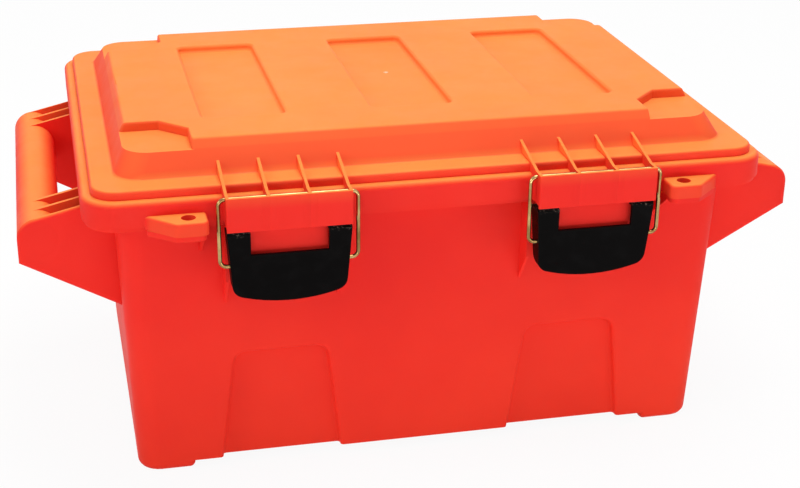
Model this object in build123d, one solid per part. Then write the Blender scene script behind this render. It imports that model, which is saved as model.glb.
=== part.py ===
"""Rigid carry crate with a hinged lid, two draw latches, padlock tabs and two end handles.

Frame: origin on the ground under the middle of the tub, +X along the long side,
+Y towards the hinges, +Z up.  All values are millimetres.
"""
import os
from math import cos, radians, sin, tan

from build123d import *

# ---------------------------------------------------------------- overall sizes
RIM_LENGTH = 480.0          # lid rim, end to end
RIM_DEPTH = 353.4           # lid rim, front to back
PARTING_Z = 206.5           # height where the lid meets the tub
RIM_HEIGHT = 16.9           # outer band of the lid
LEDGE_RISE = 5.9            # narrower step above the band
PLATEAU_RISE = 21.2         # raised top above the step

# ---------------------------------------------------------------- mouldings
WALL = 3.0
SEAT_GAP = 0.3              # lid to tub, all round
RIM_CORNER = 25.0
RIM_EDGE = 4.0              # rounding of the band's top edge
LEDGE_INSET = 7.0
LEDGE_EDGE = 2.5
PLATEAU_INSET_X, PLATEAU_INSET_Y = 23.4, 25.9       # foot of the raised top, in from the rim
SLOPE_RUN_X, SLOPE_RUN_Y = 10.7, 18.7               # how far its sides lean in
PLATEAU_CORNER = 18.0
PLATEAU_EDGE = 4.0
PLATEAU_FOOT_RADIUS = 3.0

# ---------------------------------------------------------------- tub
OVERHANG_X, OVERHANG_Y = 21.5, 24.0                 # rim beyond the tub wall at the parting
DRAFT_X, DRAFT_Y = 0.031, 0.050                     # wall lean, millimetres per millimetre
TUB_CORNER = 16.0
FOOT_HEIGHT = 7.0
FOOT_LENGTH_X, FOOT_LENGTH_Y = 40.6, 40.0
FOOT_EDGE = 6.0             # rounding under the outer faces
FOOT_INNER_EDGE = 4.0
FLANGE_THICK = 3.0
FLANGE_SETBACK = 2.0
SPIGOT_HEIGHT = 14.7                                # tub wall standing up inside the lid

# front and back panels pressed in above the bottom edge
PANEL_FROM_END = 132.5
PANEL_HALF_LOW, PANEL_HALF_HIGH = 43.5, 33.2
PANEL_TOP_Z = 93.0
PANEL_DEPTH = 6.0
PANEL_CORNER = 10.0
PANEL_EDGE = 2.5

# ---------------------------------------------------------------- lid top
TRAY_FROM_END = 118.5                               # the two outer trays, the third is central
TRAY_HALF_WIDTH = 29.5
TRAY_FROM_SIDE = 86.7                               # tray ends, in from the rim
TRAY_DEPTH = 5.0
TRAY_CORNER = 5.0
TRAY_EDGE = 2.4
POCKET_FROM_END, POCKET_FROM_SIDE = 76.5, 85.2      # stacking pockets for another crate's feet
POCKET_CHAMFER = 18.7
POCKET_DEPTH = 6.5
POCKET_EDGE = 1.8

# ---------------------------------------------------------------- seal
SEAL_WIDTH = 6.0
SEAL_RIB = 2.0
SEAL_SLACK = 0.1
SEAL_RIB_SHORT = 1.0                                # ribs stop above the seal's lower face

# ---------------------------------------------------------------- latches
LATCH_FROM_END = 133.74
KEEPER_HALF = 42.0
KEEPER_PROUD = 17.4                                 # keeper face in front of the rim
KEEPER_DROP = 2.0                                   # keeper face below the parting
KEEPER_TOP = 21.9                                   # keeper top above the parting
KEEPER_PLATE = 2.2
KEEPER_EDGE = 0.6
WEB_THICK = 2.1
WEB_PITCH = 27.3
WEB_SHOULDER = 11.0                                 # flat top of the webs, back from the keeper face
RIB_FOOT_RISE = 31.0                                # rib foot on the raised top, above the parting
WIRE_RADIUS = 1.4
RUN_CLEARANCE = 0.05
WIRE_BEHIND_FACE = 7.1                              # wire axis behind the keeper face
WIRE_UNDER_TOP = 2.7                                # wire axis under the keeper top
WIRE_HALF = 46.6
WIRE_DROP = 47.5                                    # length of the two legs
WIRE_BEND = 4.5
WIRE_TAIL = 6.0                                     # ends inside the lever walls

# lever, in its own section: forward of the pivot and above it
LEVER_HALF_TOP, LEVER_HALF_LOW = 42.0, 38.6
LEVER_ABOVE = 24.4                                  # arm ends above the pivot
LEVER_BELOW = 28.2                                  # lowest edge below the pivot
LEVER_FACE_TOP, LEVER_FACE_MID, LEVER_FACE_LOW = 4.4, 3.0, -0.6
LEVER_SKIN = 2.4
LEVER_SIDE = 2.2
LEVER_DEPTH = 15.0
LEVER_SPARE = 3.0                                   # the section is drawn past the lower edge by this
LEVER_LIP = 2.2                                     # depth of the lower edge
LEVER_SLANT = 11.0                                  # underside of the side walls rises by this
LEVER_CORNER = 9.0
LEVER_TOP_EDGE = 1.8
LEVER_CURVE = 7.0                                   # rise of the curved lower edge
WINDOW_HALF = 26.3
WINDOW_LOW = 8.0                                    # window sill above the pivot
WINDOW_WALL = 2.0
WINDOW_WALL_DEPTH = 3.2

# catch on the tub
BOSS_HALF = 26.2
BOSS_BEHIND_FACE = 9.3                              # boss face behind the keeper face
BOSS_LOW = 23.2                                     # boss underside below the parting
BOSS_CORNER = 4.0
GUSSET_HALF = 40.9
GUSSET_THICK = 2.1
GUSSET_BEHIND_FACE = 27.6
GUSSET_FRONT_LOW = 48.8                             # its straight front ends this far below parting
GUSSET_WALL_LOW = 72.5

# ---------------------------------------------------------------- padlock tabs
TAB_FROM_END = 68.0
TAB_HOLE_RADIUS = 4.9
TAB_HOLE_PROUD = 7.6                                # hole centre in front of the rim
TAB_PROUD = 18.3
TAB_OUTER, TAB_NOSE, TAB_INNER = 28.0, 9.0, 12.5    # plan outline, from the hole centre
TAB_TOP = 7.5
TAB_DROP = 1.8
TAB_CORNER = 5.0
TAB_EDGE = 2.2
LOWER_TAB_THICK = 3.8
LOWER_TAB_SETBACK = 1.4
TAB_RIB_DROP = 17.0

# ---------------------------------------------------------------- handles
GRIP_RADIUS = 15.0
GRIP_OUT = 43.8                                     # outer face beyond the rim
GRIP_BELOW = 26.5                                   # grip centre below the parting
GRIP_SKIRT = 17.2                                   # outer face runs on below the centre
GRIP_INNER_SKIRT = 13.0
GRIP_WALL = 3.0
ARM_FROM_SIDE = 56.7                                # outermost arm plate, in from the rim side
ARM_PITCH = 17.6
ARM_THICK = 3.0
ARM_FOOT_BELOW = 82.5                               # arm's lower edge at the tub wall
ARM_TOP_LEAN = 13.2                                 # degrees
GRIP_END_EDGE = 2.4

# ---------------------------------------------------------------- hinges
HINGE_FROM_END = 133.74
HINGE_RADIUS = 6.0
HINGE_PROUD = 12.3                                  # axis behind the rim
KNUCKLE_MID, KNUCKLE_SIDE = 24.0, 14.0
KNUCKLE_GAP = 0.4
PIN_RADIUS = 2.5
PIN_HEAD_RADIUS, PIN_HEAD = 3.6, 1.6

# ---------------------------------------------------------------- worked out
RIM_X, RIM_Y = RIM_LENGTH / 2, RIM_DEPTH / 2
RIM_TOP = PARTING_Z + RIM_HEIGHT
LEDGE_TOP = RIM_TOP + LEDGE_RISE
LID_TOP = LEDGE_TOP + PLATEAU_RISE
FLANGE_TOP = PARTING_Z - SEAT_GAP
SPIGOT_TOP = PARTING_Z + SPIGOT_HEIGHT
FACE_Y = -(RIM_Y + KEEPER_PROUD)
WIRE_Y = FACE_Y + WIRE_BEHIND_FACE
WIRE_Z = PARTING_Z + KEEPER_TOP - WIRE_UNDER_TOP
PIVOT_Z = WIRE_Z - WIRE_DROP
HINGE_Y = RIM_Y + HINGE_PROUD
LATCH_XS = {"left": -(RIM_X - LATCH_FROM_END), "right": RIM_X - LATCH_FROM_END}
HINGE_XS = {"left": -(RIM_X - HINGE_FROM_END), "right": RIM_X - HINGE_FROM_END}


def rounded_block(half_x, half_y, corner, low, high):
    """Upright block with rounded corners."""
    return extrude(Plane.XY.offset(low) * RectangleRounded(2 * half_x, 2 * half_y, corner), high - low)


def tub_half_x(z):
    return RIM_X - OVERHANG_X - DRAFT_X * (PARTING_Z - z)


def tub_half_y(z):
    return RIM_Y - OVERHANG_Y - DRAFT_Y * (PARTING_Z - z)


def tub_form(grow, low, high):
    """Leaning tub wall between two heights, moved outward by `grow`."""
    rings = [Plane.XY.offset(z) * RectangleRounded(2 * (tub_half_x(z) + grow), 2 * (tub_half_y(z) + grow),
                                                   TUB_CORNER + grow) for z in (low, high)]
    return loft(Sketch() + rings, ruled=True)


def plateau_form(inset, low, high):
    """Raised top of the lid between two heights, its sides moved in by `inset`."""
    def ring(z):
        share = (z - LEDGE_TOP) / PLATEAU_RISE
        half_x = RIM_X - PLATEAU_INSET_X - SLOPE_RUN_X * share - inset
        half_y = RIM_Y - PLATEAU_INSET_Y - SLOPE_RUN_Y * share - inset
        return Plane.XY.offset(z) * RectangleRounded(2 * half_x, 2 * half_y, PLATEAU_CORNER)
    return loft(Sketch() + [ring(low), ring(high)], ruled=True)


def box_between(low, high):
    """Plain block between two corners."""
    size = [b - a for a, b in zip(low, high)]
    centre = [(a + b) / 2 for a, b in zip(low, high)]
    return Pos(*centre) * Box(*size)


def mirrored(shape):
    return shape + mirror(shape, Plane.YZ)


# ---------------------------------------------------------------- tub
def panel_prism(grow):
    """Trapezoid of a pressed-in panel, run through the front and back walls."""
    x = RIM_X - PANEL_FROM_END
    top = PANEL_TOP_Z + grow
    slope = (PANEL_HALF_LOW - PANEL_HALF_HIGH) / (PANEL_TOP_Z - FOOT_HEIGHT)
    high, low_z = PANEL_HALF_HIGH + grow, FOOT_HEIGHT - 20
    low = high + slope * (top - low_z)
    outline = Polyline((x - low, low_z), (x - high, top), (x + high, top), (x + low, low_z), close=True)
    face = make_face(Plane.XZ * outline)
    body = extrude(face, RIM_Y, both=True)
    upper = [e for e in body.edges().filter_by(Axis.Y) if e.center().Z > PARTING_Z / 3]
    return fillet(upper, PANEL_CORNER + grow)


def foot_cutters():
    """Two channels under the floor that leave a foot at each corner."""
    across = RIM_X * 2
    half_x = tub_half_x(0) - FOOT_LENGTH_X
    half_y = tub_half_y(0) - FOOT_LENGTH_Y
    along_y = box_between((-half_x, -across, -FOOT_HEIGHT), (half_x, across, FOOT_HEIGHT))
    along_x = box_between((-across, -half_y, -FOOT_HEIGHT), (across, half_y, FOOT_HEIGHT))
    return along_x + along_y


def is_foot_inner(edge):
    """True for the straight lower edges of the feet that face the middle of the floor."""
    at = edge.center()
    inside_x = tub_half_x(0) - abs(at.X) > FOOT_LENGTH_X - 1
    inside_y = tub_half_y(0) - abs(at.Y) > FOOT_LENGTH_Y - 1
    return edge.geom_type == GeomType.LINE and (inside_x or inside_y)


def is_panel_edge(edge, depth):
    """True for the upper and side edges of a pressed-in panel that lie `depth` inside the wall's face."""
    at, reach = edge.center(), edge.bounding_box()
    near = abs(abs(at.X) - (RIM_X - PANEL_FROM_END)) < PANEL_HALF_LOW + PANEL_EDGE
    upright = reach.size.Z > PANEL_EDGE or at.Z > PANEL_TOP_Z - PANEL_EDGE
    across = abs(tub_half_y(at.Z) - abs(at.Y) - depth)
    return near and upright and reach.max.Z < PANEL_TOP_Z + PANEL_EDGE and across < PANEL_EDGE / 4


def catch(x):
    """Catch of one latch: boss in the lever's window, front plate and two side gussets."""
    boss_y = FACE_Y + BOSS_BEHIND_FACE
    gusset_y = FACE_Y + GUSSET_BEHIND_FACE
    wall_y = -tub_half_y(PARTING_Z) + WALL / 2
    boss_low = PARTING_Z - BOSS_LOW
    boss = box_between((x - BOSS_HALF, boss_y, boss_low), (x + BOSS_HALF, gusset_y, FLANGE_TOP))
    boss = fillet(boss.edges().filter_by(Axis.Y).group_by(Axis.Z)[0], BOSS_CORNER)
    hollow = box_between((x - BOSS_HALF + WALL, boss_y + WALL, boss_low - WALL),
                         (x + BOSS_HALF - WALL, gusset_y + WALL, FLANGE_TOP - FLANGE_THICK))
    front_low = PARTING_Z - GUSSET_FRONT_LOW
    plate = box_between((x - GUSSET_HALF, gusset_y, front_low), (x + GUSSET_HALF, gusset_y + GUSSET_THICK, FLANGE_TOP))
    tip_z = PARTING_Z - GUSSET_WALL_LOW
    side = make_face(Plane.YZ * Polyline((gusset_y, FLANGE_TOP), (gusset_y, front_low),
                                         (-tub_half_y(tip_z), tip_z), (-tub_half_y(tip_z) + WALL / 2, tip_z),
                                         (wall_y, FLANGE_TOP), close=True))
    gussets = [Pos(x + s * (GUSSET_HALF - GUSSET_THICK / 2), 0, 0) * extrude(side, GUSSET_THICK / 2, both=True)
               for s in (-1, 1)]
    return (boss - hollow) + plate + gussets[0] + gussets[1]


def tab_outline(inset):
    """Plan of a padlock tab on the +X side, behind its front edge by `inset`."""
    x = RIM_X - TAB_FROM_END
    root, front = -(RIM_Y - WALL / 2), -(RIM_Y + TAB_PROUD - inset)
    return Polyline((x - TAB_INNER + inset, root), (x - TAB_INNER + inset, front), (x + TAB_NOSE - inset / 2, front),
                    (x + TAB_OUTER - inset, -RIM_Y - inset), (x + TAB_OUTER - inset, root), close=True)


def tab(low, high, inset):
    """Padlock tab with rounded upright corners."""
    body = extrude(make_face(Plane.XY.offset(low) * tab_outline(inset)), high - low)
    nose = [e for e in body.edges().filter_by(Axis.Z) if e.center().Y < -RIM_Y - TAB_PROUD / 2]
    return fillet(nose, TAB_CORNER)


def tab_bore():
    centre = Pos(RIM_X - TAB_FROM_END, -(RIM_Y + TAB_HOLE_PROUD), PARTING_Z)
    return centre * Cylinder(TAB_HOLE_RADIUS, 4 * RIM_HEIGHT)


def tab_rib():
    """Small triangular rib under the inner side of the lower tab."""
    x = RIM_X - TAB_FROM_END - TAB_INNER + LOWER_TAB_SETBACK
    low_z = PARTING_Z - TAB_DROP - SEAT_GAP - LOWER_TAB_THICK
    wall_z = low_z - TAB_RIB_DROP
    tip = -(RIM_Y + TAB_PROUD - 2 * TAB_CORNER)
    outline = Polyline((tip, low_z + 1), (-tub_half_y(wall_z) + WALL / 2, wall_z - TAB_RIB_DROP / 2),
                       (-tub_half_y(wall_z) + WALL / 2, low_z + 1), close=True)
    return Pos(x + GUSSET_THICK / 2, 0, 0) * extrude(make_face(Plane.YZ * outline), GUSSET_THICK / 2, both=True)


def knuckle(x, width, arm):
    """One hinge barrel and the arm that carries it."""
    barrel = Pos(x, HINGE_Y, PARTING_Z) * Rot(0, 90, 0) * Cylinder(HINGE_RADIUS, width)
    return barrel + Pos(x, 0, 0) * extrude(make_face(Plane.YZ * arm), width / 2, both=True)


def pin_bore(x):
    reach = KNUCKLE_MID + 4 * KNUCKLE_SIDE
    return Pos(x, HINGE_Y, PARTING_Z) * Rot(0, 90, 0) * Cylinder(PIN_RADIUS + RUN_CLEARANCE, reach)


def tub_knuckles(x):
    inner = tub_half_y(PARTING_Z) - WALL / 2
    foot_z = PARTING_Z - 4 * HINGE_RADIUS
    arm = Polyline((inner, FLANGE_TOP), (HINGE_Y, FLANGE_TOP), (HINGE_Y + HINGE_RADIUS * sin(radians(45)),
                   PARTING_Z - HINGE_RADIUS * cos(radians(45))), (tub_half_y(foot_z), foot_z), (inner, foot_z), close=True)
    shift = KNUCKLE_MID / 2 + KNUCKLE_GAP + KNUCKLE_SIDE / 2
    return knuckle(x - shift, KNUCKLE_SIDE, arm) + knuckle(x + shift, KNUCKLE_SIDE, arm)


def make_tub():
    """Leaning box with corner feet, pressed-in panels, flange, spigot, catches, tabs and hinge barrels."""
    shell = tub_form(0, 0, SPIGOT_TOP)
    rounded = fillet(shell.edges().group_by(Axis.Z)[0], FOOT_EDGE)
    shell -= mirrored(panel_prism(0)) - tub_form(-PANEL_DEPTH, -WALL, PARTING_Z)
    for depth in (PANEL_DEPTH, 0.0):
        shell = fillet([e for e in shell.edges() if is_panel_edge(e, depth)], PANEL_EDGE)
    shell = (shell & rounded) - foot_cutters()
    inner = [e for e in shell.edges().group_by(Axis.Z)[0] if is_foot_inner(e)]
    shell = fillet(inner, FOOT_INNER_EDGE)
    floor = FOOT_HEIGHT + WALL
    cavity = tub_form(-WALL, floor, SPIGOT_TOP + WALL)
    cavity -= mirrored(panel_prism(WALL)) - tub_form(-PANEL_DEPTH - WALL, 0, SPIGOT_TOP + 2 * WALL)
    shell += rounded_block(RIM_X - FLANGE_SETBACK, RIM_Y - FLANGE_SETBACK, RIM_CORNER - FLANGE_SETBACK,
                           FLANGE_TOP - FLANGE_THICK, FLANGE_TOP)
    for x in LATCH_XS.values():
        shell += catch(x)
    low_top = PARTING_Z - TAB_DROP - SEAT_GAP
    shell += mirrored(tab(low_top - LOWER_TAB_THICK, low_top, LOWER_TAB_SETBACK) + tab_rib())
    for x in HINGE_XS.values():
        shell += tub_knuckles(x)
        shell -= pin_bore(x)
    shell -= cavity
    return shell - mirrored(tab_bore())


# ---------------------------------------------------------------- lid
def tray_cut(grow, low):
    """The three shallow trays in the lid's top."""
    half_y = RIM_Y - TRAY_FROM_SIDE + grow
    cuts = [Pos(x, 0, 0) * rounded_block(TRAY_HALF_WIDTH + grow, half_y, TRAY_CORNER + grow, low, LID_TOP + WALL)
            for x in (-(RIM_X - TRAY_FROM_END), 0.0, RIM_X - TRAY_FROM_END)]
    return cuts[0] + cuts[1] + cuts[2]


def pocket_cut(grow, low):
    """One stacking pocket, open to the end and the side of the raised top."""
    x, y = RIM_X - POCKET_FROM_END - grow, RIM_Y - POCKET_FROM_SIDE - grow
    outline = Polyline((RIM_X, y), (x + POCKET_CHAMFER, y), (x, y + POCKET_CHAMFER), (x, RIM_Y), (RIM_X, RIM_Y),
                       close=True)
    return extrude(make_face(Plane.XY.offset(low) * outline), LID_TOP + WALL - low)


def four_corners(shape):
    both = mirrored(shape)
    return both + mirror(both, Plane.XZ)


def keeper(x):
    """Keeper block of one latch: four webs behind a face plate, and ribs up the lid's slope."""
    top, plate_low = PARTING_Z + KEEPER_TOP, PARTING_Z - KEEPER_DROP
    plate = box_between((x - KEEPER_HALF, FACE_Y, plate_low), (x + KEEPER_HALF, FACE_Y + KEEPER_PLATE, top))
    plate = fillet(plate.edges().group_by(Axis.Y)[0], KEEPER_EDGE)
    root = -(RIM_Y - WALL / 2)
    foot_z = PARTING_Z + RIB_FOOT_RISE
    share = (foot_z - LEDGE_TOP) / PLATEAU_RISE
    foot_y = -(RIM_Y - PLATEAU_INSET_Y - SLOPE_RUN_Y * share)
    outline = Polyline((FACE_Y + KEEPER_PLATE / 2, PARTING_Z), (FACE_Y + KEEPER_PLATE / 2, top),
                       (FACE_Y + WEB_SHOULDER, top), (foot_y, foot_z),
                       (foot_y + WALL / 2, foot_z - WALL / 2), (-(RIM_Y - PLATEAU_INSET_Y) + WALL / 2, LEDGE_TOP - WALL / 2),
                       (-(RIM_Y - LEDGE_INSET) + WALL / 2, LEDGE_TOP - WALL / 2),
                       (-(RIM_Y - LEDGE_INSET) + WALL / 2, RIM_TOP - WALL / 2), (root, RIM_TOP - WALL / 2),
                       (root, PARTING_Z), close=True)
    web = extrude(make_face(Plane.YZ * outline), WEB_THICK / 2, both=True)
    block = plate
    for step in (-1.5, -0.5, 0.5, 1.5):
        block += Pos(x + step * WEB_PITCH, 0, 0) * web
    wire = Pos(x, WIRE_Y, WIRE_Z) * Rot(0, 90, 0) * Cylinder(WIRE_RADIUS + RUN_CLEARANCE, 4 * KEEPER_HALF)
    return block - wire


def lid_knuckle(x):
    arm = Polyline((RIM_Y - WALL / 2, PARTING_Z), (HINGE_Y, PARTING_Z), (HINGE_Y, PARTING_Z + HINGE_RADIUS),
                   (RIM_Y - WALL / 2, RIM_TOP - RIM_EDGE), close=True)
    return knuckle(x, KNUCKLE_MID, arm)


def seal_ring(slack, low, high):
    """Closed band that follows the spigot, `slack` wider than the seal on each side."""
    z = SPIGOT_TOP
    out, inn = (SEAL_WIDTH - WALL) / 2 + slack, (SEAL_WIDTH + WALL) / 2 + slack
    outer = rounded_block(tub_half_x(z) + out, tub_half_y(z) + out, TUB_CORNER + out, low, high)
    inner = rounded_block(tub_half_x(z) - inn, tub_half_y(z) - inn, TUB_CORNER - inn, low - 1, high + 1)
    return outer - inner


def crown_form():
    """Raised top with its stacking pockets and trays, edges rounded."""
    crown = plateau_form(0, LEDGE_TOP - WALL, LID_TOP)
    crown = fillet(crown.edges().group_by(Axis.Z)[-1], PLATEAU_EDGE)
    pocket_z = LID_TOP - POCKET_DEPTH
    crown -= four_corners(pocket_cut(0, pocket_z))
    rims = [e for e in crown.edges().group_by(Axis.Z)[-1] if is_pocket_rim(e)]
    crown = fillet(rims, POCKET_EDGE)
    crown -= tray_cut(0, LID_TOP - TRAY_DEPTH)
    tray_edges = [e for e in crown.edges() if is_tray_edge(e)]
    return fillet(tray_edges, TRAY_EDGE)


def is_pocket_rim(edge):
    """True for the upper edges of a stacking pocket's three walls."""
    at = edge.center()
    beyond = RIM_X - POCKET_FROM_END - 1, RIM_Y - POCKET_FROM_SIDE - 1
    return abs(at.X) > beyond[0] and abs(at.Y) > beyond[1] and at.Z > LID_TOP - TRAY_EDGE


def is_tray_edge(edge):
    """True for the rim and floor edges of a tray."""
    at = edge.center()
    inside = abs(at.X) < RIM_X - POCKET_FROM_END - 1 and abs(at.Y) < RIM_Y - TRAY_FROM_SIDE + 1
    return inside and (abs(at.Z - LID_TOP) < TRAY_EDGE / 4 or abs(at.Z - (LID_TOP - TRAY_DEPTH)) < TRAY_EDGE / 4)


def is_plateau_foot(edge):
    """True for the line where the raised top grows out of the step."""
    at = edge.center()
    inside = abs(at.X) < RIM_X - PLATEAU_INSET_X + 1 and abs(at.Y) < RIM_Y - PLATEAU_INSET_Y + 1
    return inside and abs(at.Z - LEDGE_TOP) < 0.1


def make_lid():
    """Stepped lid shell with trays, pockets, keeper blocks, tabs, seal groove and hinge barrels."""
    band = rounded_block(RIM_X, RIM_Y, RIM_CORNER, PARTING_Z, RIM_TOP)
    band = fillet(band.edges().group_by(Axis.Z)[-1], RIM_EDGE)
    step = rounded_block(RIM_X - LEDGE_INSET, RIM_Y - LEDGE_INSET, RIM_CORNER - LEDGE_INSET, RIM_TOP - WALL, LEDGE_TOP)
    step = fillet(step.edges().group_by(Axis.Z)[-1], LEDGE_EDGE)
    shell = band + step + crown_form()
    foot = [e for e in shell.edges() if is_plateau_foot(e)]
    shell = fillet(foot, PLATEAU_FOOT_RADIUS)
    hollow = rounded_block(RIM_X - WALL, RIM_Y - WALL, RIM_CORNER - WALL, PARTING_Z - WALL, RIM_TOP - WALL)
    inset = LEDGE_INSET + WALL
    hollow += rounded_block(RIM_X - inset, RIM_Y - inset, RIM_CORNER - inset, RIM_TOP - 2 * WALL, LEDGE_TOP - WALL)
    roof = plateau_form(WALL, LEDGE_TOP - 2 * WALL, LID_TOP - WALL)
    roof -= tray_cut(WALL, LID_TOP - TRAY_DEPTH - WALL)
    roof -= four_corners(pocket_cut(WALL, LID_TOP - POCKET_DEPTH - WALL))
    shell -= hollow + roof
    for x in LATCH_XS.values():
        shell += keeper(x)
    tabs = tab(PARTING_Z - TAB_DROP, PARTING_Z + TAB_TOP, 0)
    tabs = fillet([e for e in tabs.edges().group_by(Axis.Z)[-1] if e.center().Y < -RIM_Y - 1], TAB_EDGE)
    tabs -= box_between((0, -RIM_Y, 0), (RIM_X, 0, PARTING_Z))
    shell += mirrored(tabs)
    for x in HINGE_XS.values():
        shell += lid_knuckle(x)
        shell -= pin_bore(x)
    roof_z, low_z = LEDGE_TOP - WALL, SPIGOT_TOP + SEAT_GAP
    ribs = seal_ring(SEAL_SLACK + SEAL_RIB, low_z + SEAL_RIB_SHORT, roof_z + WALL / 2)
    ribs -= seal_ring(SEAL_SLACK, low_z, roof_z)
    shell += ribs
    return shell - mirrored(tab_bore())


def make_seal():
    return seal_ring(0, SPIGOT_TOP + SEAT_GAP, LEDGE_TOP - WALL)


# ---------------------------------------------------------------- latch wire and lever
def make_bail(x):
    """Bent wire: top run through the keeper, two legs, and tails into the lever's sides."""
    end = LEVER_HALF_TOP - WIRE_TAIL
    path = FilletPolyline((x - end, WIRE_Y, PIVOT_Z), (x - WIRE_HALF, WIRE_Y, PIVOT_Z), (x - WIRE_HALF, WIRE_Y, WIRE_Z),
                          (x + WIRE_HALF, WIRE_Y, WIRE_Z), (x + WIRE_HALF, WIRE_Y, PIVOT_Z), (x + end, WIRE_Y, PIVOT_Z),
                          radius=WIRE_BEND)
    section = Plane(origin=path @ 0, z_dir=path % 0) * Circle(WIRE_RADIUS)
    return sweep(section, path)


def lever_front(offset):
    """Front line of the lever's section, moved back by `offset`, as (y, z) points."""
    top = (WIRE_Y - LEVER_FACE_TOP + offset, PIVOT_Z + LEVER_ABOVE)
    mid = (WIRE_Y - LEVER_FACE_MID + offset, PIVOT_Z)
    low = (WIRE_Y - LEVER_FACE_LOW + offset, PIVOT_Z - LEVER_BELOW - LEVER_SPARE)
    return top, mid, low


def lever_section():
    """Lever side section: bowed front, straight back, slanted underside."""
    top, mid, low = lever_front(0)
    bow = ThreePointArc(top, mid, low)
    back_y = WIRE_Y - LEVER_FACE_TOP + LEVER_DEPTH
    lip = (low[0] + LEVER_LIP, PIVOT_Z - LEVER_BELOW + LEVER_SIDE + 1)
    rim = Polyline(low, (lip[0], low[1]), lip, (back_y, lip[1] + LEVER_SLANT), (back_y, top[1]), top)
    return make_face(Plane.YZ * (bow + rim))


def lever_front_form(inset):
    """Front view of the lever run through it: narrowing sides and a curved lower edge, moved in by `inset`."""
    top, low = PIVOT_Z + LEVER_ABOVE + 1, PIVOT_Z - LEVER_BELOW + inset
    half_top, half_low = LEVER_HALF_TOP - inset, LEVER_HALF_LOW - inset
    side_z = low + LEVER_CURVE
    sides = Polyline((-half_low, side_z), (-half_top, top), (half_top, top), (half_low, side_z))
    curve = ThreePointArc((half_low, side_z), (0, low), (-half_low, side_z))
    body = extrude(make_face(Plane.XZ.offset(-WIRE_Y) * (sides + curve)), 2 * LEVER_DEPTH, both=True)
    corners = [e for e in body.edges().filter_by(Axis.Y) if e.center().Z < PIVOT_Z]
    return fillet(corners, LEVER_CORNER - inset)


def make_lever(x):
    """Bowed lever plate with a window, side walls and bores for the wire's tails."""
    half, top_z = LEVER_HALF_TOP + 1, PIVOT_Z + LEVER_ABOVE
    solid = extrude(lever_section(), half, both=True) & lever_front_form(0)
    solid = fillet(solid.edges().filter_by(Axis.X).group_by(Axis.Z)[-1], LEVER_TOP_EDGE)
    top, mid, low = lever_front(LEVER_SKIN)
    back_y = WIRE_Y + 2 * LEVER_DEPTH
    behind = Polyline(low, (back_y, low[1]), (back_y, top[1]), top)
    hollow = extrude(make_face(Plane.YZ * (ThreePointArc(top, mid, low) + behind)), half, both=True)
    hollow &= lever_front_form(LEVER_SIDE)
    hollow -= box_between((-half, -RIM_DEPTH, top_z - LEVER_SKIN), (half, 0, RIM_TOP))
    frame_half, sill = WINDOW_HALF + WINDOW_WALL, PIVOT_Z + WINDOW_LOW
    frame_back = WIRE_Y - LEVER_FACE_TOP + WINDOW_WALL_DEPTH
    hollow -= box_between((-frame_half, -RIM_DEPTH, sill - WINDOW_WALL), (frame_half, frame_back, RIM_TOP))
    shell = solid - hollow
    shell -= box_between((-WINDOW_HALF, -RIM_DEPTH, sill), (WINDOW_HALF, 0, RIM_TOP))
    bores = Pos(0, WIRE_Y, PIVOT_Z) * Rot(0, 90, 0) * Cylinder(WIRE_RADIUS + RUN_CLEARANCE, 4 * LEVER_HALF_TOP)
    return Pos(x, 0, 0) * (shell - bores)


# ---------------------------------------------------------------- handles and pins
def arm_outline():
    """Side view of a handle arm, as (x, z) points for the +X handle."""
    grip_x, grip_z = RIM_X + GRIP_OUT - GRIP_RADIUS, PARTING_Z - GRIP_BELOW
    lean = radians(ARM_TOP_LEAN)
    tangent = (grip_x + GRIP_RADIUS * sin(lean), grip_z + GRIP_RADIUS * cos(lean))
    outer_x = grip_x + GRIP_RADIUS
    foot_z = PARTING_Z - ARM_FOOT_BELOW
    foot_x, top_x = tub_half_x(foot_z) - WALL / 2, tub_half_x(PARTING_Z) - WALL / 2
    top_z = tangent[1] + (tangent[0] - top_x) * tan(lean)
    side = Polyline((outer_x, grip_z), (outer_x, grip_z - GRIP_SKIRT), (foot_x, foot_z), (top_x, top_z), tangent)
    nose = RadiusArc(tangent, (outer_x, grip_z), GRIP_RADIUS)
    return make_face(Plane.XZ * (side + nose))


def grip_section():
    """Half-round grip, open underneath."""
    grip_x, grip_z = RIM_X + GRIP_OUT - GRIP_RADIUS, PARTING_Z - GRIP_BELOW
    def arch(radius, outer_low, inner_low):
        left, right = (grip_x - radius, grip_z), (grip_x + radius, grip_z)
        line = Polyline(right, (right[0], outer_low), (left[0], inner_low), left)
        return make_face(Plane.XZ * (line + ThreePointArc(left, (grip_x, grip_z + radius), right)))
    low, inner_low = grip_z - GRIP_SKIRT, grip_z - GRIP_INNER_SKIRT
    return arch(GRIP_RADIUS, low, inner_low) - arch(GRIP_RADIUS - GRIP_WALL, low - GRIP_WALL, inner_low - 2 * GRIP_WALL)


def make_handle(tub):
    """Grip along Y on two arms of three plates each, on the +X end."""
    reach = RIM_Y - ARM_FROM_SIDE
    handle = extrude(grip_section(), reach - ARM_THICK / 2, both=True)
    plate = extrude(arm_outline(), ARM_THICK / 2, both=True)
    for index in (1, 2):
        offset = reach - ARM_THICK / 2 - index * ARM_PITCH
        handle += Pos(0, offset, 0) * plate + Pos(0, -offset, 0) * plate
    end_plate = Pos(0, reach - ARM_THICK / 2, 0) * plate
    end_plate = fillet([e for e in end_plate.edges().group_by(Axis.Y)[-1]
                        if e.center().X > tub_half_x(PARTING_Z) + ARM_THICK], GRIP_END_EDGE)
    handle += end_plate + mirror(end_plate, Plane.XZ)
    under_flange = box_between((0, -RIM_Y, 0), (RIM_LENGTH, RIM_Y, FLANGE_TOP - FLANGE_THICK))
    return (handle & under_flange) - tub


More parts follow.
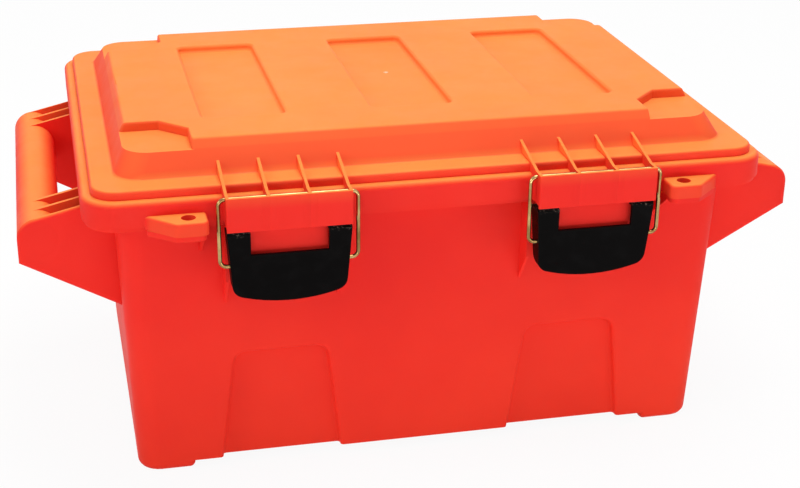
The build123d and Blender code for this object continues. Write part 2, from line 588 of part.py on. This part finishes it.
def make_pin(x):
    """Hinge pin with a small head on its outer end."""
    length = KNUCKLE_MID + 2 * (KNUCKLE_SIDE + KNUCKLE_GAP)
    side = 1 if x > 0 else -1
    shank = Pos(x, HINGE_Y, PARTING_Z) * Rot(0, 90, 0) * Cylinder(PIN_RADIUS, length)
    head_x = x + side * (length + PIN_HEAD) / 2
    return shank + Pos(head_x, HINGE_Y, PARTING_Z) * Rot(0, 90, 0) * Cylinder(PIN_HEAD_RADIUS, PIN_HEAD)


def main():
    os.makedirs("parts", exist_ok=True)
    tub = make_tub()
    right_handle = make_handle(tub)
    nodes = {"tub": tub, "right_handle": right_handle, "left_handle": mirror(right_handle, Plane.YZ),
             "lid": make_lid(), "lid_seal": make_seal()}
    for side in ("left", "right"):
        nodes[side + "_latch_bail"] = make_bail(LATCH_XS[side])
        nodes[side + "_latch_lever"] = make_lever(LATCH_XS[side])
        nodes[side + "_hinge_pin"] = make_pin(HINGE_XS[side])
    for name, shape in nodes.items():
        shape.label = name
        export_step(shape, f"parts/{name}.step")
        print(name, len(shape.solids()), round(shape.volume))


main()
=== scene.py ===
"""Studio scene for the lidded carry crate: finishes, small moulded details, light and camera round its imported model.

All lengths are metres in the row frame: origin on the ground under the middle of the tub, +X along the long side,
+Y towards the hinges, +Z up.
"""

from __future__ import annotations

import logging
import math
from dataclasses import dataclass, field
from enum import Enum

import bmesh
import bpy
from mathutils import Matrix, Vector


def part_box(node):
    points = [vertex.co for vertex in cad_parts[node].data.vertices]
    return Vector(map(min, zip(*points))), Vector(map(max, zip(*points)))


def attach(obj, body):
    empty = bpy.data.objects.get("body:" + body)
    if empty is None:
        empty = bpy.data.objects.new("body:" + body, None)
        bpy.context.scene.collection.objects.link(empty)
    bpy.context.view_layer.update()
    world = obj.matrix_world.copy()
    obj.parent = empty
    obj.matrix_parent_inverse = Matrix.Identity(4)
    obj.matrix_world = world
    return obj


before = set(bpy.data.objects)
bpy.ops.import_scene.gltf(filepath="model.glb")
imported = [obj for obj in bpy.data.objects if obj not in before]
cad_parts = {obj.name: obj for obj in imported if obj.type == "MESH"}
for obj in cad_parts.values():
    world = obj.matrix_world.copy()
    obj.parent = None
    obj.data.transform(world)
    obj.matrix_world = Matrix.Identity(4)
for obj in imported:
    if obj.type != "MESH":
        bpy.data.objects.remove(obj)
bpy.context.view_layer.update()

LOG = logging.getLogger("crate")
Colour = tuple[float, float, float]
KEEPER_WEB_PITCH = 0.0273


class Side(Enum):
    """The two ends of the crate, by the sign of X."""

    LEFT = -1
    RIGHT = 1

    @property
    def word(self) -> str:
        """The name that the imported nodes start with."""
        return self.name.lower()


class Reading(Enum):
    """What a finish can know about a point of the surface."""

    PLACE = "Object"
    FACING = "Normal"


class Join(Enum):
    """Ways to join two values."""

    ADD = "ADD"
    SUBTRACT = "SUBTRACT"
    MULTIPLY = "MULTIPLY"
    POWER = "POWER"
    LARGER = "MAXIMUM"
    SIZE = "ABSOLUTE"


@dataclass(frozen=True)
class Cloud:
    """A cloudy pattern: cells per metre, octaves, how strong the finer octaves are, and stretch on each axis."""

    scale: float
    detail: float = 2.0
    roughness: float = 0.5
    stretch: tuple[float, float, float] | None = None


class Bench:
    """A material being wired up, one node at a time.

    Args:
        name: what the material is called.
    """

    def __init__(self, name: str) -> None:
        self.material = bpy.data.materials.new(name)
        self.material.use_nodes = True
        self.nodes = self.material.node_tree.nodes
        self.links = self.material.node_tree.links
        self.shader = next(n for n in self.nodes if n.type == "BSDF_PRINCIPLED")
        self.output = next(n for n in self.nodes if n.type == "OUTPUT_MATERIAL")
        self.place = self.nodes.new("ShaderNodeTexCoord").outputs["Object"]

    def feed(self, into: bpy.types.NodeSocket, value: object) -> None:
        """Links a socket to an input, or writes a plain value there.

        Args:
            into: the input socket.
            value: an output socket, a number or a colour.
        """
        if isinstance(value, bpy.types.NodeSocket):
            self.links.new(value, into)
        else:
            into.default_value = (*value, 1.0) if isinstance(value, tuple) and into.type == "RGBA" else value

    def stretched(self, scale: tuple[float, float, float]) -> bpy.types.NodeSocket:
        """Object coordinates stretched by a factor on each axis.

        Args:
            scale: the factors on X, Y and Z.

        Returns:
            The stretched coordinates.
        """
        node = self.nodes.new("ShaderNodeMapping")
        self.links.new(self.place, node.inputs["Vector"])
        node.inputs["Scale"].default_value = scale
        return node.outputs["Vector"]

    def noise(self, cloud: Cloud) -> bpy.types.NodeSocket:
        """Lays a cloudy pattern.

        Args:
            cloud: which pattern.

        Returns:
            The pattern, about 0 to 1.
        """
        node = self.nodes.new("ShaderNodeTexNoise")
        where = self.stretched(cloud.stretch) if cloud.stretch else self.place
        self.links.new(where, node.inputs["Vector"])
        node.inputs["Scale"].default_value = cloud.scale
        node.inputs["Detail"].default_value = cloud.detail
        node.inputs["Roughness"].default_value = cloud.roughness
        return node.outputs["Fac"]

    def spread(
        self, value: bpy.types.NodeSocket, low: float, high: float, start: float = 0.3, end: float = 0.7
    ) -> bpy.types.NodeSocket:
        """Maps a pattern onto a range.

        Args:
            value: the pattern.
            low: what it gives at start and below.
            high: what it gives at end and above.
            start: the pattern's value for low.
            end: the pattern's value for high.

        Returns:
            The mapped value.
        """
        node = self.nodes.new("ShaderNodeMapRange")
        self.links.new(value, node.inputs["Value"])
        for name, number in (("From Min", start), ("From Max", end), ("To Min", low), ("To Max", high)):
            node.inputs[name].default_value = number
        return node.outputs["Result"]

    def part(self, kind: Reading, axis: str) -> bpy.types.NodeSocket:
        """One part of the object's own place, or of which way its surface faces.

        Args:
            kind: place or facing.
            axis: X, Y or Z.

        Returns:
            That part.
        """
        split = self.nodes.new("ShaderNodeSeparateXYZ")
        self.links.new(self.place.node.outputs[kind.value], split.inputs["Vector"])
        return split.outputs[axis]

    def off(self, axis: str) -> bpy.types.NodeSocket:
        """How far a point is from the middle plane across an axis."""
        return self.join(self.part(Reading.PLACE, axis), 0.0, Join.SIZE)

    def blend(self, share: bpy.types.NodeSocket, first: object, second: object) -> bpy.types.NodeSocket:
        """Mixes two colours.

        Args:
            share: how much of the second.
            first: a colour or a colour output.
            second: a colour or a colour output.

        Returns:
            The mixed colour.
        """
        node = self.nodes.new("ShaderNodeMix")
        node.data_type = "RGBA"
        self.links.new(share, node.inputs[0])
        self.feed(node.inputs[6], first)
        self.feed(node.inputs[7], second)
        return node.outputs[2]

    def join(self, first: object, second: object, kind: Join) -> bpy.types.NodeSocket:
        """Joins two values by one operation.

        Args:
            first: a value or an output.
            second: a value or an output, which SIZE doesn't use.
            kind: the operation.

        Returns:
            The result.
        """
        node = self.nodes.new("ShaderNodeMath")
        node.operation = kind.value
        self.feed(node.inputs[0], first)
        self.feed(node.inputs[1], second)
        return node.outputs[0]

    def bump(
        self, height: bpy.types.NodeSocket, depth: float, under: bpy.types.NodeSocket | None = None
    ) -> bpy.types.NodeSocket:
        """Turns a height pattern into a normal.

        Args:
            height: the pattern.
            depth: metres from its 0 to its 1.
            under: a normal to start from.

        Returns:
            The normal.
        """
        node = self.nodes.new("ShaderNodeBump")
        self.links.new(height, node.inputs["Height"])
        node.inputs["Distance"].default_value = depth
        node.inputs["Strength"].default_value = 1.0
        if under is not None:
            self.links.new(under, node.inputs["Normal"])
        return node.outputs["Normal"]

    def finish(self, **values: object) -> bpy.types.Material:
        """Sets or links the shader's inputs, named with _ for a space.

        Args:
            **values: input names and what goes in.

        Returns:
            The material.
        """
        for name, value in values.items():
            self.feed(self.shader.inputs[name.replace("_", " ")], value)
        return self.material


@dataclass(frozen=True)
class MouldedShell:
    """Satin polypropylene that lets a little light through where it is thin."""

    name: str = "moulded_orange_polypropylene"
    side_deep: Colour = (0.80, 0.022, 0.017)
    side_bright: Colour = (0.87, 0.032, 0.020)
    # Lit copies of the orange: painted light on faces that face up, mixed in by how far they face up.
    top_deep: Colour = (0.94, 0.228, 0.048)
    top_bright: Colour = (0.98, 0.266, 0.056)
    fade_full: float = 0.97
    fade_power: float = 3.0
    cloud: Cloud = Cloud(7.0, 3.0, 0.55)
    patches: Cloud = Cloud(38.0, 4.0, 0.6)
    roughness: tuple[float, float] = (0.44, 0.58)
    peel: Cloud = Cloud(520.0)
    peel_depth: float = 0.00005
    grain: Cloud = Cloud(2600.0, 1.0)
    grain_depth: float = 0.00002
    glow: float = 0.22
    glow_radius: Colour = (1.0, 0.42, 0.16)
    glow_reach: float = 0.004
    shine: float = 0.08
    ior: float = 1.49

    def fade(self, bench: Bench) -> bpy.types.NodeSocket:
        """Painted light: the share of the lit copy of the orange, by how far the surface faces up.

        Args:
            bench: the material being made.

        Returns:
            The share, 0 to 1.
        """
        upward = bench.spread(bench.part(Reading.FACING, "Z"), 0.0, 1.0, 0.0, self.fade_full)
        return bench.join(upward, self.fade_power, Join.POWER)

    def relief(self, bench: Bench) -> bpy.types.NodeSocket | None:
        """The normal left by marks that only one moulding has.

        Args:
            bench: the material being made.

        Returns:
            The normal, or None for a moulding with no such marks.
        """
        return None

    def make(self) -> bpy.types.Material:
        """Wires the material."""
        bench = Bench(self.name)
        clouds = bench.spread(bench.noise(self.cloud), 0.0, 1.0)
        side = bench.blend(clouds, self.side_deep, self.side_bright)
        # The lit copy of the orange, laid on by the painted-light share.
        top = bench.blend(clouds, self.top_deep, self.top_bright)
        peel = bench.bump(bench.noise(self.peel), self.peel_depth, self.relief(bench))
        return bench.finish(
            Base_Color=bench.blend(self.fade(bench), side, top),
            Roughness=bench.spread(bench.noise(self.patches), *self.roughness),
            Normal=bench.bump(bench.noise(self.grain), self.grain_depth, peel),
            Subsurface_Weight=self.glow,
            Subsurface_Radius=self.glow_radius,
            Subsurface_Scale=self.glow_reach,
            Specular_IOR_Level=self.shine,
            IOR=self.ior,
        )


@dataclass(frozen=True)
class TubShell(MouldedShell):
    """The tub's moulding, with painted light from the floor bounce making it a little more orange towards its foot."""

    name: str = "moulded_orange_tub"
    foot: tuple[float, float] = (0.010, 0.140)
    # Painted light: the share of the lit orange that the floor bounce adds near the foot.
    foot_fade: float = 0.07

    def fade(self, bench: Bench) -> bpy.types.NodeSocket:
        """As on the other mouldings, with a small painted-light share from the floor bounce added low down.

        Args:
            bench: the material being made.

        Returns:
            The share, 0 to 1.
        """
        low = bench.spread(bench.part(Reading.PLACE, "Z"), self.foot_fade, 0.0, *self.foot)
        return bench.join(super().fade(bench), low, Join.LARGER)


@dataclass(frozen=True)
class LidShell(MouldedShell):
    """The lid's moulding: painted light makes its crown, webs and tabs orange all over, and the keepers' webs leave
    sink marks in their faces.
    """

    name: str = "moulded_orange_lid"
    crown: tuple[float, float] = (0.2200, 0.2310)
    # Painted light: shares of the lit orange on the crown, pockets, trays, webs and tabs.
    crown_fade: float = 0.25
    recess: tuple[float, float] = (0.2435, 0.2450)
    pocket_fade: float = 0.18
    tray_fade: float = 0.45
    tray_field: tuple[float, float] = (0.155, 0.094)
    web_foot: tuple[float, float] = (-0.144, -0.152)
    web_root: tuple[float, float] = (0.2296, 0.2304)
    web_fade: float = 0.85
    tabs_from: float = 0.154
    tab_front: tuple[float, float] = (-0.1775, -0.1800)
    tab_fade: float = 0.15
    soft: float = 0.001
    underside: tuple[float, float] = (-0.6, -0.2)
    keeper_face: tuple[float, float] = (-0.1932, -0.1938)
    sink_width: float = 0.0045
    sink_depth: float = 0.00045

    def crown_share(self, bench: Bench) -> bpy.types.NodeSocket:
        """The painted-light share that grows up the crown, and again in its pockets and trays.

        Args:
            bench: the material being made.

        Returns:
            The share, 0 to 1.
        """
        height = bench.part(Reading.PLACE, "Z")
        share = bench.spread(height, 0.0, self.crown_fade, *self.crown)
        share = bench.join(share, bench.spread(height, 0.0, self.pocket_fade, *self.recess), Join.ADD)
        tray = bench.spread(height, 0.0, self.tray_fade, *self.recess)
        for axis, reach in zip("XY", self.tray_field):
            tray = bench.join(tray, bench.spread(bench.off(axis), 1.0, 0.0, reach, reach + self.soft), Join.MULTIPLY)
        return bench.join(share, tray, Join.ADD)

    def web_share(self, bench: Bench) -> bpy.types.NodeSocket:
        """The painted-light share on the thin webs in front of the crown, where light shines through them.

        Args:
            bench: the material being made.

        Returns:
            The share, 0 to 1.
        """
        front = bench.spread(bench.part(Reading.PLACE, "Y"), 0.0, self.web_fade, *self.web_foot)
        above = bench.spread(bench.part(Reading.PLACE, "Z"), 0.0, 1.0, *self.web_root)
        return bench.join(front, above, Join.MULTIPLY)

    def tab_share(self, bench: Bench) -> bpy.types.NodeSocket:
        """The painted-light share on the padlock tabs.

        Args:
            bench: the material being made.

        Returns:
            The share, 0 to 1.
        """
        front = bench.spread(bench.part(Reading.PLACE, "Y"), 0.0, self.tab_fade, *self.tab_front)
        outer = bench.spread(bench.off("X"), 0.0, 1.0, self.tabs_from, self.tabs_from + self.soft)
        return bench.join(front, outer, Join.MULTIPLY)

    def fade(self, bench: Bench) -> bpy.types.NodeSocket:
        """As on the other mouldings, but, except on faces that face down, never less than the crown's, webs' and tabs'
        painted-light shares.

        Args:
            bench: the material being made.

        Returns:
            The share, 0 to 1.
        """
        least_painted_light = self.crown_share(bench)
        for share in (self.web_share(bench), self.tab_share(bench)):
            least_painted_light = bench.join(least_painted_light, share, Join.LARGER)
        outside = bench.spread(bench.part(Reading.FACING, "Z"), 0.0, 1.0, *self.underside)
        return bench.join(super().fade(bench), bench.join(least_painted_light, outside, Join.MULTIPLY), Join.LARGER)

    def relief(self, bench: Bench) -> bpy.types.NodeSocket:
        """Shallow upright hollows in each keeper's face where its two middle webs meet it.

        Args:
            bench: the material being made.

        Returns:
            The normal.
        """
        low, high = (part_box("right_latch_bail")[i].x for i in (0, 1))
        away = bench.part(Reading.PLACE, "X")
        for shift in (0.0, (low + high) / 2, KEEPER_WEB_PITCH / 2):
            away = bench.join(bench.join(away, shift, Join.SUBTRACT), 0.0, Join.SIZE)
        hollow = bench.spread(away, 1.0, 0.0, 0.0, self.sink_width)
        face = bench.spread(bench.part(Reading.PLACE, "Y"), 0.0, 1.0, *self.keeper_face)
        return bench.bump(bench.join(1.0, bench.join(hollow, face, Join.MULTIPLY), Join.SUBTRACT), self.sink_depth)


@dataclass(frozen=True)
class HandleShell(MouldedShell):
    """A handle's moulding, with the ring that the grip's end leaves in each outer plate."""

    name: str = "moulded_orange_handle"
    grip: tuple[float, float] = (0.2688, 0.1800)
    ring: tuple[float, float] = (0.0130, 0.0180)
    ring_depth: float = 0.0003
    plate: tuple[float, float] = (0.1192, 0.1198)
    slots: tuple[float, float] = (0.0845, 0.1178)
    slot_height: tuple[float, float] = (0.1650, 0.1950)
    # Painted light: the share of the lit orange in the slots between the arm plates.
    slot_fade: float = 0.32
    soft: float = 0.0005

    def fade(self, bench: Bench) -> bpy.types.NodeSocket:
        """As on the other mouldings, but never less than a set painted-light share between the arm plates near their
        tops, where light comes through the plates.

        Args:
            bench: the material being made.

        Returns:
            The share, 0 to 1.
        """
        least_painted_light = bench.spread(bench.part(Reading.PLACE, "Z"), 0.0, self.slot_fade, *self.slot_height)
        off = bench.off("Y")
        for edge, (low, high) in zip(self.slots, ((0.0, 1.0), (1.0, 0.0))):
            least_painted_light = bench.join(least_painted_light, bench.spread(off, low, high, edge, edge + self.soft), Join.MULTIPLY)
        return bench.join(super().fade(bench), least_painted_light, Join.LARGER)

    def relief(self, bench: Bench) -> bpy.types.NodeSocket:
        """A soft step round each end of the grip.

        Args:
            bench: the material being made.

        Returns:
            The normal.
        """
        out = bench.join(bench.off("X"), self.grip[0], Join.SUBTRACT)
        rise = bench.join(bench.part(Reading.PLACE, "Z"), self.grip[1], Join.SUBTRACT)
        squares = bench.join(bench.join(out, 2.0, Join.POWER), bench.join(rise, 2.0, Join.POWER), Join.ADD)
        step = bench.spread(bench.join(squares, 0.5, Join.POWER), 0.0, 1.0, *self.ring)
        side = bench.spread(bench.off("Y"), 0.0, 1.0, *self.plate)
        return bench.bump(bench.join(step, side, Join.MULTIPLY), self.ring_depth)


@dataclass(frozen=True)
class BlackNylon:
    """Satin black moulding, rubbed a little paler in patches, with a painted highlight in pale specks along the arm
    ends.
    """

    name: str = "black_nylon"
    dark: Colour = (0.0016, 0.0012, 0.0012)
    rubbed: Colour = (0.0034, 0.0030, 0.0030)
    # The colour of the painted highlight along the arm tops.
    scuffed: Colour = (0.13, 0.10, 0.08)
    rub: Cloud = Cloud(90.0, 5.0, 0.62)
    rub_range: tuple[float, float] = (0.5, 0.75)
    roughness: tuple[float, float] = (0.34, 0.50)
    specks: Cloud = Cloud(620.0, 4.0, 0.7)
    speck_range: tuple[float, float] = (0.56, 0.66)
    scuff_band: float = 0.0032
    peel: Cloud = Cloud(300.0)
    peel_depth: float = 0.00004
    grain: Cloud = Cloud(1800.0)
    grain_depth: float = 0.00002
    shine: float = 0.035
    ior: float = 1.5

    def make(self) -> bpy.types.Material:
        """Wires the material."""
        bench = Bench(self.name)
        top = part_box("left_latch_lever")[1].z
        rub = bench.noise(self.rub)
        plain = bench.blend(bench.spread(rub, 0.0, 1.0, *self.rub_range), self.dark, self.rubbed)
        height = bench.part(Reading.PLACE, "Z")
        # Painted highlight: pale specks in a band along the top of the arms.
        band = bench.spread(height, 0.0, 1.0, top - self.scuff_band, top - self.scuff_band / 2)
        specks = bench.spread(bench.noise(self.specks), 0.0, 1.0, *self.speck_range)
        painted_highlight = bench.join(band, specks, Join.MULTIPLY)
        peel = bench.bump(bench.noise(self.peel), self.peel_depth)
        return bench.finish(
            Base_Color=bench.blend(painted_highlight, plain, self.scuffed),
            Roughness=bench.spread(rub, *self.roughness),
            Normal=bench.bump(bench.noise(self.grain), self.grain_depth, peel),
            Specular_IOR_Level=self.shine,
            IOR=self.ior,
        )


@dataclass(frozen=True)
class PlatedWire:
    """Yellow-passivated zinc over drawn steel wire."""

    name: str = "yellow_zinc_wire"
    straw: Colour = (0.21, 0.115, 0.034)
    pale: Colour = (0.58, 0.40, 0.17)
    patches: Cloud = Cloud(70.0, 4.0, 0.6)
    rubs: Cloud = Cloud(240.0, 3.0)
    roughness: tuple[float, float] = (0.08, 0.20)
    grain: Cloud = Cloud(900.0, 3.0)
    grain_depth: float = 0.00002

    def make(self) -> bpy.types.Material:
        """Wires the material."""
        bench = Bench(self.name)
        return bench.finish(
            Base_Color=bench.blend(bench.spread(bench.noise(self.patches), 0.0, 1.0), self.straw, self.pale),
            Metallic=1.0,
            Roughness=bench.spread(bench.noise(self.rubs), *self.roughness),
            Normal=bench.bump(bench.noise(self.grain), self.grain_depth),
        )


@dataclass(frozen=True)
class DrawnSteel:
    """Plain pin steel with fine lines along its length."""

    name: str = "drawn_pin_steel"
    dark: Colour = (0.46, 0.46, 0.47)
    light: Colour = (0.66, 0.66, 0.66)
    lines: Cloud = Cloud(1500.0, 3.0, 0.6, (0.04, 1.0, 1.0))
    line_depth: float = 0.00001
    roughness: tuple[float, float] = (0.26, 0.42)

    def make(self) -> bpy.types.Material:
        """Wires the material."""
        bench = Bench(self.name)
        lines = bench.noise(self.lines)
        return bench.finish(
            Base_Color=bench.blend(bench.spread(lines, 0.0, 1.0), self.dark, self.light),
            Metallic=1.0,
            Roughness=bench.spread(lines, *self.roughness),
            Normal=bench.bump(lines, self.line_depth),
        )


@dataclass(frozen=True)
class FoamRubber:
    """Matt black seal with an open, slightly pitted skin."""

    name: str = "seal_foam_rubber"
    dark: Colour = (0.016, 0.016, 0.017)
    dusty: Colour = (0.05, 0.049, 0.047)
    dust: Cloud = Cloud(60.0, 4.0)
    pits: Cloud = Cloud(1400.0, 3.0, 0.7)
    pit_depth: float = 0.0001
    roughness: tuple[float, float] = (0.72, 0.92)

    def make(self) -> bpy.types.Material:
        """Wires the material."""
        bench = Bench(self.name)
        pits = bench.noise(self.pits)
        return bench.finish(
            Base_Color=bench.blend(bench.spread(bench.noise(self.dust), 0.0, 1.0), self.dark, self.dusty),
            Roughness=bench.spread(pits, *self.roughness),
            Normal=bench.bump(pits, self.pit_depth),
        )


def dress(node: str, material: bpy.types.Material) -> None:
    """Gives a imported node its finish.

    Args:
        node: the node's name.
        material: what it is made of.
    """
    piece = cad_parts[node]
    piece.data.materials.clear()
    piece.data.materials.append(material)
    LOG.info("%s dressed in %s", node, material.name)


@dataclass(frozen=True)
class GatePlastic:
    """The rougher plastic of the snapped-off filling point, flecked with a pale painted highlight."""

    name: str = "gate_plastic_painted_highlight"
    # The lid's lit copy of the orange, with a pale painted highlight flecked over it by the grain.
    base: Colour = MouldedShell.top_bright
    pale: Colour = (0.97, 0.82, 0.66)
    grain: Cloud = Cloud(1500.0, 3.0, 0.6)
    grain_depth: float = 0.0001
    roughness: tuple[float, float] = (0.35, 0.6)

    def make(self) -> bpy.types.Material:
        """Wires the material."""
        bench = Bench(self.name)
        grain = bench.noise(self.grain)
        return bench.finish(
            Base_Color=bench.blend(bench.spread(grain, 0.0, 1.0), self.base, self.pale),
            Roughness=bench.spread(grain, *self.roughness),
            Normal=bench.bump(grain, self.grain_depth),
        )


@dataclass
class GateMark:
    """The trimmed nub that the moulding's filling point leaves in the middle tray."""

    name: str = "lid_gate_mark"
    body: str = "lid"
    slot: str = "orange_shell"
    radius: float = 0.0017
    height: float = 0.0005
    sink: float = 0.0004
    rings: int = 5
    around: int = 24
    waves: tuple[tuple[float, int, float], ...] = ((0.10, 3, 0.0), (0.05, 7, 1.0))
    at: tuple[float, float] = (0.0015, 0.006)
    floor: float = 0.2455
    finish: GatePlastic = GatePlastic()

    def ring(self, shape: bmesh.types.BMesh, row: int) -> list[bmesh.types.BMVert]:
        """Adds one ragged ring of points.

        Args:
            shape: the mesh being built.
            row: which ring, 0 at the foot.

        Returns:
            The ring's points in order.
        """
        turn = math.pi / 2 * row / self.rings
        out, up = self.radius * math.cos(turn), self.floor + self.height * math.sin(turn)
        circle = []
        for step in range(self.around):
            angle = 2 * math.pi * step / self.around
            reach = out * (1.0 + sum(share * math.sin(count * angle + start) for share, count, start in self.waves))
            place = (self.at[0] + reach * math.cos(angle), self.at[1] + reach * math.sin(angle), up)
            circle.append(shape.verts.new(place))
        return circle

    def mesh(self) -> bmesh.types.BMesh:
        """Turns a closed low dome with a point under it, sunk in the tray's floor."""
        shape = bmesh.new()
        rows = [self.ring(shape, row) for row in range(self.rings)]
        crown = shape.verts.new((*self.at, self.floor + self.height))
        root = shape.verts.new((*self.at, self.floor - self.sink))
        for step in range(self.around):
            after = (step + 1) % self.around
            for lower, upper in zip(rows, rows[1:]):
                shape.faces.new((lower[step], lower[after], upper[after], upper[step]))
            shape.faces.new((rows[-1][step], rows[-1][after], crown))
            shape.faces.new((rows[0][after], rows[0][step], root))
        return shape

    def build(self) -> None:
        """Makes the mark, smooth all over, and lets it ride on the lid."""
        data = bpy.data.meshes.new(self.name)
        shape = self.mesh()
        shape.to_mesh(data)
        shape.free()
        data.shade_smooth()
        data.materials.append(self.finish.make())
        piece = bpy.data.objects.new(self.name, data)
        bpy.context.scene.collection.objects.link(piece)
        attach(piece, self.body)
        LOG.info("%s built with %d faces", self.name, len(data.polygons))


@dataclass
class Shell:
    """The moulded parts: tub, its two handles, and lid."""

    body: TubShell = TubShell()
    lid: LidShell = LidShell()
    handle: HandleShell = HandleShell()
    gate: GateMark = field(default_factory=GateMark)

    def dress(self) -> None:
        """Gives every moulding its finish, and the lid its gate mark."""
        dress("tub", self.body.make())
        dress("lid", self.lid.make())
        handle = self.handle.make()
        for side in Side:
            dress(f"{side.word}_handle", handle)
        self.gate.build()


@dataclass
class Latches:
    """The wire bails and their levers."""

    wire: PlatedWire = PlatedWire()
    nylon: BlackNylon = BlackNylon()

    def dress(self) -> None:
        """Gives both latches their finishes."""
        wire, nylon = self.wire.make(), self.nylon.make()
        for side in Side:
            dress(f"{side.word}_latch_bail", wire)
            dress(f"{side.word}_latch_lever", nylon)


@dataclass
class Fittings:
    """Hinge pins and the lid seal."""

    steel: DrawnSteel = DrawnSteel()
    rubber: FoamRubber = FoamRubber()

    def dress(self) -> None:
        """Gives pins and seal their finishes."""
        steel = self.steel.make()
        for side in Side:
            dress(f"{side.word}_hinge_pin", steel)
        dress("lid_seal", self.rubber.make())


@dataclass(frozen=True)
class Softbox:
    """One square or oblong studio lamp."""

    name: str
    at: tuple[float, float, float]
    towards: tuple[float, float, float]
    size: tuple[float, float]
    watts: float
    colour: Colour = (1.0, 1.0, 1.0)

    def build(self) -> None:
        """Hangs the lamp."""
        data = bpy.data.lights.new(self.name, "AREA")
        data.shape, data.size, data.size_y = "RECTANGLE", self.size[0], self.size[1]
        data.energy, data.color = self.watts, self.colour
        lamp = bpy.data.objects.new(self.name, data)
        bpy.context.scene.collection.objects.link(lamp)
        lamp.location = self.at
        lamp.rotation_euler = (Vector(self.towards) - Vector(self.at)).to_track_quat("-Z", "Y").to_euler()


@dataclass
class Studio:
    """White floor and world, and the lamps."""

    floor_half: float = 8.0
    floor_drop: float = 0.0002
    floor_colour: Colour = (0.9, 0.9, 0.9)
    floor_roughness: float = 0.85
    floor_shine: float = 0.1
    ambient: float = 0.46
    floor_share: float = 0.93
    lamps: tuple[Softbox, ...] = (
        Softbox("key_overhead", (0.2, 0.1, 2.0), (0.0, 0.0, 0.2), (1.5, 1.1), 27.0),
        Softbox("left_fill", (-2.0, -0.8, 1.1), (0.0, 0.0, 0.15), (1.0, 0.8), 13.0),
        Softbox("front_fill", (1.5, -2.4, 0.5), (0.05, 0.0, 0.10), (1.4, 1.0), 1.5),
        Softbox("low_fill", (0.2, -0.95, 0.06), (0.05, -0.15, 0.03), (1.6, 0.1), 2.6),
    )

    def seen(self, tree: bpy.types.NodeTree) -> bpy.types.NodeSocket:
        """The share of rays that see the background as white.

        Args:
            tree: the node tree it goes in.

        Returns:
            1 for camera, glossy and transmission rays, else 0.
        """
        path = tree.nodes.new("ShaderNodeLightPath")
        total = path.outputs["Is Camera Ray"]
        for name in ("Is Glossy Ray", "Is Transmission Ray"):
            node = tree.nodes.new("ShaderNodeMath")
            node.operation = Join.LARGER.value
            tree.links.new(total, node.inputs[0])
            tree.links.new(path.outputs[name], node.inputs[1])
            total = node.outputs[0]
        return total

    def world(self) -> None:
        """Makes a white world that lights the crate less than it shows."""
        world = bpy.data.worlds.new("studio")
        bpy.context.scene.world = world
        world.use_nodes = True
        tree = world.node_tree
        background = next(n for n in tree.nodes if n.type == "BACKGROUND")
        background.inputs["Color"].default_value = (1.0, 1.0, 1.0, 1.0)
        level = tree.nodes.new("ShaderNodeMapRange")
        tree.links.new(self.seen(tree), level.inputs["Value"])
        level.inputs["To Min"].default_value = self.ambient
        level.inputs["To Max"].default_value = 1.0
        tree.links.new(level.outputs["Result"], background.inputs["Strength"])

    def floor(self) -> None:
        """Lays a pale floor that keeps the crate's shadow."""
        mesh = bpy.data.meshes.new("studio_floor")
        half = self.floor_half
        mesh.from_pydata([(-half, -half, 0), (half, -half, 0), (half, half, 0), (-half, half, 0)], [], [(0, 1, 2, 3)])
        floor = bpy.data.objects.new("studio_floor", mesh)
        bpy.context.scene.collection.objects.link(floor)
        floor.location.z = -self.floor_drop
        bench = Bench("pale_floor")
        bench.finish(Base_Color=self.floor_colour, Roughness=self.floor_roughness, Specular_IOR_Level=self.floor_shine)
        glow = bench.nodes.new("ShaderNodeEmission")
        mix = bench.nodes.new("ShaderNodeMixShader")
        share = bench.join(self.seen(bench.material.node_tree), self.floor_share, Join.MULTIPLY)
        bench.links.new(share, mix.inputs["Fac"])
        bench.links.new(bench.shader.outputs["BSDF"], mix.inputs[1])
        bench.links.new(glow.outputs["Emission"], mix.inputs[2])
        bench.links.new(mix.outputs["Shader"], bench.output.inputs["Surface"])
        mesh.materials.append(bench.material)

    def build(self) -> None:
        """Sets up the whole studio."""
        self.world()
        self.floor()
        for lamp in self.lamps:
            lamp.build()
        bpy.context.scene.view_settings.view_transform = "Standard"


@dataclass
class Camera:
    """Stands in front of the left end, looking down on the lid."""

    at: tuple[float, float, float] = (-0.2528, -1.1379, 0.5993)
    yaw: float = 12.807
    pitch: float = -23.857
    roll: float = 0.454
    lens: float = 70.64
    shift: tuple[float, float] = (0.0105, 0.0286)
    sensor: float = 36.0

    def build(self) -> None:
        """Places the camera and makes it the scene's own."""
        yaw, pitch, roll = (math.radians(x) for x in (self.yaw, self.pitch, self.roll))
        ahead = Vector((math.sin(yaw) * math.cos(pitch), math.cos(yaw) * math.cos(pitch), math.sin(pitch)))
        level = ahead.cross(Vector((0, 0, 1))).normalized()
        above = level.cross(ahead)
        right = math.cos(roll) * level + math.sin(roll) * above
        up = math.cos(roll) * above - math.sin(roll) * level
        data = bpy.data.cameras.new("studio_camera")
        data.sensor_width, data.lens = self.sensor, self.lens
        data.shift_x, data.shift_y = self.shift
        camera = bpy.data.objects.new("studio_camera", data)
        bpy.context.scene.collection.objects.link(camera)
        turn = Matrix((right, up, -ahead)).transposed()
        camera.matrix_world = Matrix.Translation(Vector(self.at)) @ turn.to_4x4()
        bpy.context.scene.camera = camera


def main() -> None:
    """Builds the camera, the studio and every piece in order."""
    logging.basicConfig(level=logging.INFO, format="%(name)s: %(message)s")
    Camera().build()
    Studio().build()
    for part in (Shell(), Latches(), Fittings()):
        part.dress()


if __name__ == "__main__":
    main()
